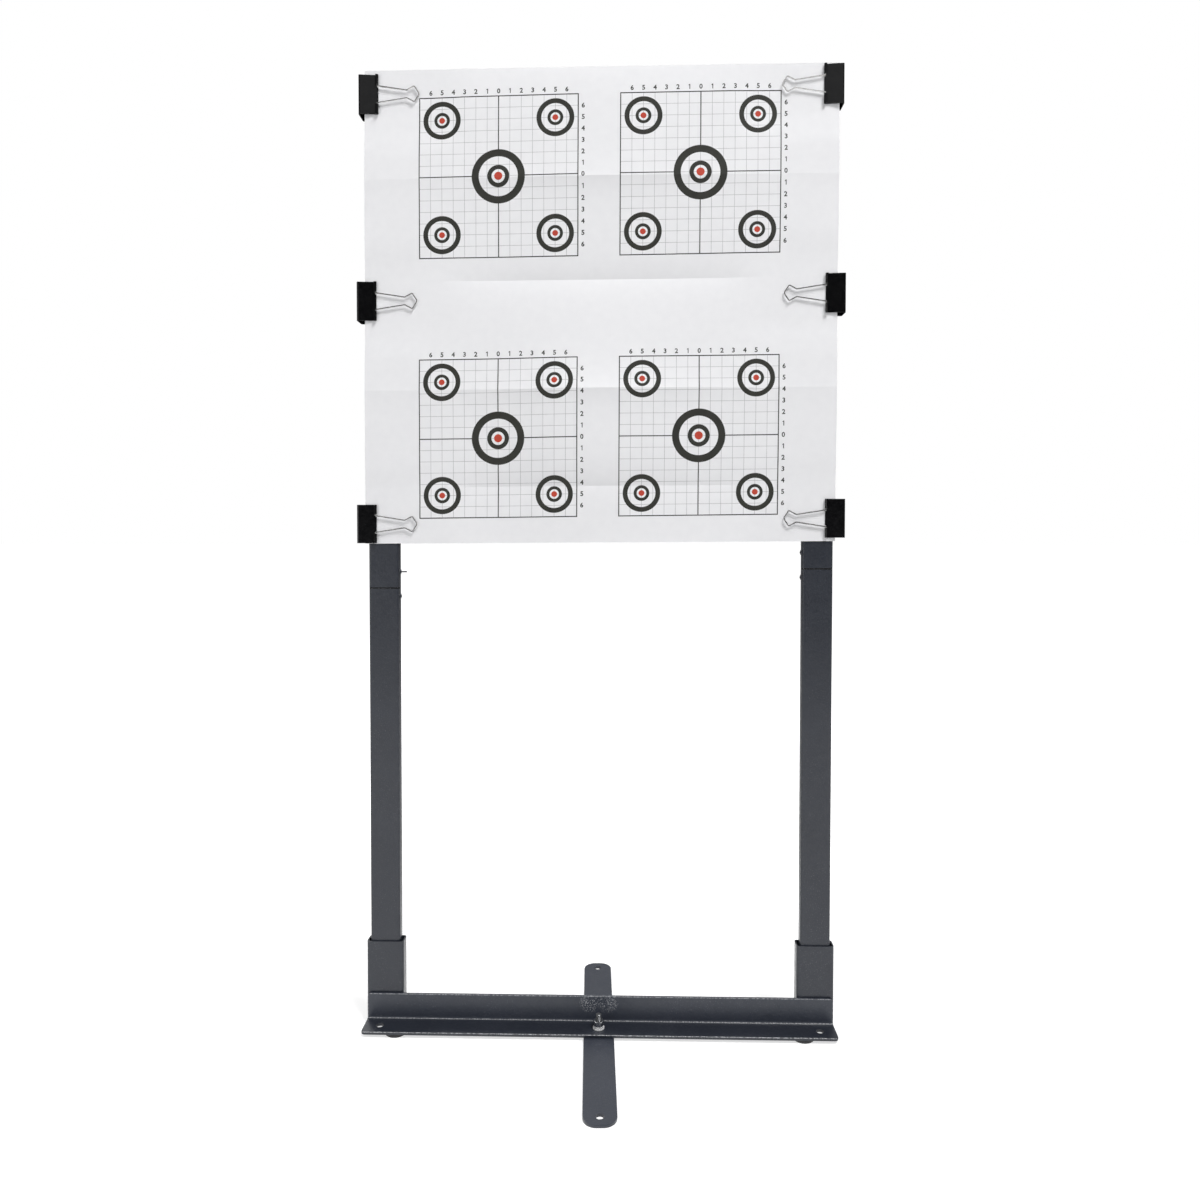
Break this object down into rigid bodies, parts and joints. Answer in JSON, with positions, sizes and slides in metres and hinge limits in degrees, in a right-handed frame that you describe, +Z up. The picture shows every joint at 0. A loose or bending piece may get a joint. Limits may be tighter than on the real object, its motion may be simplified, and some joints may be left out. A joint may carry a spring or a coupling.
{
  "type": "paper target stand",
  "caption": "Knock-down steel stand: an angle crossbar on a turning foot bar carries socketed tube posts, and binder clips with wire handles hold a paper sheet printed with grid targets.",
  "frame": {"origin": "On the floor under the pivot bolt, at the middle of the bounding box's bottom face", "axes": "+X along the crossbar to the stand's right as seen from the front, +Y from the sheet's face to its back, +Z up along the posts"},
  "size_m": [0.5186, 0.3, 1.0205],
  "materials": {
    "grey_powder_coat": "dark grey powder coat, slightly textured",
    "bright_zinc": "bright zinc plate",
    "black_rubber": "matt black rubber",
    "white_paper": "white printed paper with soft fold lines",
    "black_enamel": "gloss black enamel on spring steel",
    "bright_wire": "bright nickel plate"
  },
  "bodies": {
    "base": {"angle_crossbar": "grey_powder_coat", "pivot_bolt": "bright_zinc", "flat_washer": "bright_zinc", "spring_washer": "bright_zinc", "hex_nut": "bright_zinc", "left_rubber_pad": "black_rubber", "left_socket": "grey_powder_coat", "left_socket_plate": "grey_powder_coat", "right_rubber_pad": "black_rubber", "right_socket": "grey_powder_coat", "right_socket_plate": "grey_powder_coat"},
    "foot": {"foot_bar": "grey_powder_coat"},
    "left_post": {"left_lower_post": "grey_powder_coat", "left_upper_post": "grey_powder_coat", "left_connector": "bright_zinc", "left_lower_rivet": "bright_zinc", "left_upper_rivet": "bright_zinc", "target_sheet": "white_paper"},
    "right_post": {"right_lower_post": "grey_powder_coat", "right_upper_post": "grey_powder_coat", "right_connector": "bright_zinc", "right_lower_rivet": "bright_zinc", "right_upper_rivet": "bright_zinc"},
    "bottom_left_clip": {"bottom_left_clip_shell": "black_enamel"},
    "bottom_left_clip_front_handle": {"bottom_left_clip_front_handle": "bright_wire"},
    "bottom_left_clip_back_handle": {"bottom_left_clip_back_handle": "bright_wire"},
    "bottom_right_clip": {"bottom_right_clip_shell": "black_enamel"},
    "bottom_right_clip_front_handle": {"bottom_right_clip_front_handle": "bright_wire"},
    "bottom_right_clip_back_handle": {"bottom_right_clip_back_handle": "bright_wire"},
    "middle_left_clip": {"middle_left_clip_shell": "black_enamel"},
    "middle_left_clip_front_handle": {"middle_left_clip_front_handle": "bright_wire"},
    "middle_left_clip_back_handle": {"middle_left_clip_back_handle": "bright_wire"},
    "middle_right_clip": {"middle_right_clip_shell": "black_enamel"},
    "middle_right_clip_front_handle": {"middle_right_clip_front_handle": "bright_wire"},
    "middle_right_clip_back_handle": {"middle_right_clip_back_handle": "bright_wire"},
    "top_left_clip": {"top_left_clip_shell": "black_enamel"},
    "top_left_clip_front_handle": {"top_left_clip_front_handle": "bright_wire"},
    "top_left_clip_back_handle": {"top_left_clip_back_handle": "bright_wire"},
    "top_right_clip": {"top_right_clip_shell": "black_enamel"},
    "top_right_clip_front_handle": {"top_right_clip_front_handle": "bright_wire"},
    "top_right_clip_back_handle": {"top_right_clip_back_handle": "bright_wire"}
  },
  "joints": [
    {"name": "foot_swivel", "type": "hinge", "parent": "base", "child": "foot", "pos_m": [0, 0, 0], "axis": [0, 0, 1], "range_deg": [-90, 90]},
    {"name": "left_post_lift", "type": "slide", "parent": "base", "child": "left_post", "axis": [0, 0, 1], "range_m": [0, 0.09]},
    {"name": "right_post_lift", "type": "slide", "parent": "base", "child": "right_post", "axis": [0, 0, 1], "range_m": [0, 0.09]},
    {"name": "bottom_left_clip_pull", "type": "slide", "parent": "left_post", "child": "bottom_left_clip", "axis": [-1, 0, 0], "range_m": [0, 0.065]},
    {"name": "bottom_left_clip_front_handle_swing", "type": "hinge", "parent": "bottom_left_clip", "child": "bottom_left_clip_front_handle", "pos_m": [-0.2396, 0.0161, 0.5398], "axis": [0, 0, -1], "range_deg": [0, 170]},
    {"name": "bottom_left_clip_back_handle_swing", "type": "hinge", "parent": "bottom_left_clip", "child": "bottom_left_clip_back_handle", "pos_m": [-0.2396, 0.0328, 0.5398], "axis": [0, 0, 1], "range_deg": [0, 170]},
    {"name": "bottom_right_clip_pull", "type": "slide", "parent": "right_post", "child": "bottom_right_clip", "axis": [1, 0, 0], "range_m": [0, 0.065]},
    {"name": "bottom_right_clip_front_handle_swing", "type": "hinge", "parent": "bottom_right_clip", "child": "bottom_right_clip_front_handle", "pos_m": [0.2396, 0.0161, 0.5463], "axis": [0, 0, 1], "range_deg": [0, 170]},
    {"name": "bottom_right_clip_back_handle_swing", "type": "hinge", "parent": "bottom_right_clip", "child": "bottom_right_clip_back_handle", "pos_m": [0.2396, 0.0328, 0.5463], "axis": [0, 0, -1], "range_deg": [0, 170]},
    {"name": "middle_left_clip_pull", "type": "slide", "parent": "left_post", "child": "middle_left_clip", "axis": [-1, 0, 0], "range_m": [0, 0.065]},
    {"name": "middle_left_clip_front_handle_swing", "type": "hinge", "parent": "middle_left_clip", "child": "middle_left_clip_front_handle", "pos_m": [-0.2387, 0.0161, 0.7764], "axis": [0, 0, -1], "range_deg": [0, 170]},
    {"name": "middle_left_clip_back_handle_swing", "type": "hinge", "parent": "middle_left_clip", "child": "middle_left_clip_back_handle", "pos_m": [-0.2387, 0.0328, 0.7764], "axis": [0, 0, 1], "range_deg": [0, 170]},
    {"name": "middle_right_clip_pull", "type": "slide", "parent": "right_post", "child": "middle_right_clip", "axis": [1, 0, 0], "range_m": [0, 0.065]},
    {"name": "middle_right_clip_front_handle_swing", "type": "hinge", "parent": "middle_right_clip", "child": "middle_right_clip_front_handle", "pos_m": [0.2387, 0.0161, 0.7829], "axis": [0, 0, 1], "range_deg": [0, 170]},
    {"name": "middle_right_clip_back_handle_swing", "type": "hinge", "parent": "middle_right_clip", "child": "middle_right_clip_back_handle", "pos_m": [0.2387, 0.0328, 0.7829], "axis": [0, 0, -1], "range_deg": [0, 170]},
    {"name": "top_left_clip_pull", "type": "slide", "parent": "left_post", "child": "top_left_clip", "axis": [-1, 0, 0], "range_m": [0, 0.065]},
    {"name": "top_left_clip_front_handle_swing", "type": "hinge", "parent": "top_left_clip", "child": "top_left_clip_front_handle", "pos_m": [-0.2356, 0.0161, 0.9934], "axis": [0, 0, -1], "range_deg": [0, 170]},
    {"name": "top_left_clip_back_handle_swing", "type": "hinge", "parent": "top_left_clip", "child": "top_left_clip_back_handle", "pos_m": [-0.2356, 0.0328, 0.9934], "axis": [0, 0, 1], "range_deg": [0, 170]},
    {"name": "top_right_clip_pull", "type": "slide", "parent": "right_post", "child": "top_right_clip", "axis": [1, 0, 0], "range_m": [0, 0.065]},
    {"name": "top_right_clip_front_handle_swing", "type": "hinge", "parent": "top_right_clip", "child": "top_right_clip_front_handle", "pos_m": [0.2356, 0.0161, 0.9999], "axis": [0, 0, 1], "range_deg": [0, 170]},
    {"name": "top_right_clip_back_handle_swing", "type": "hinge", "parent": "top_right_clip", "child": "top_right_clip_back_handle", "pos_m": [0.2356, 0.0328, 0.9999], "axis": [0, 0, -1], "range_deg": [0, 170]}
  ],
  "couplings": [
    {"joint": "right_post_lift", "follows": "left_post_lift", "ratio": 1}
  ]
}
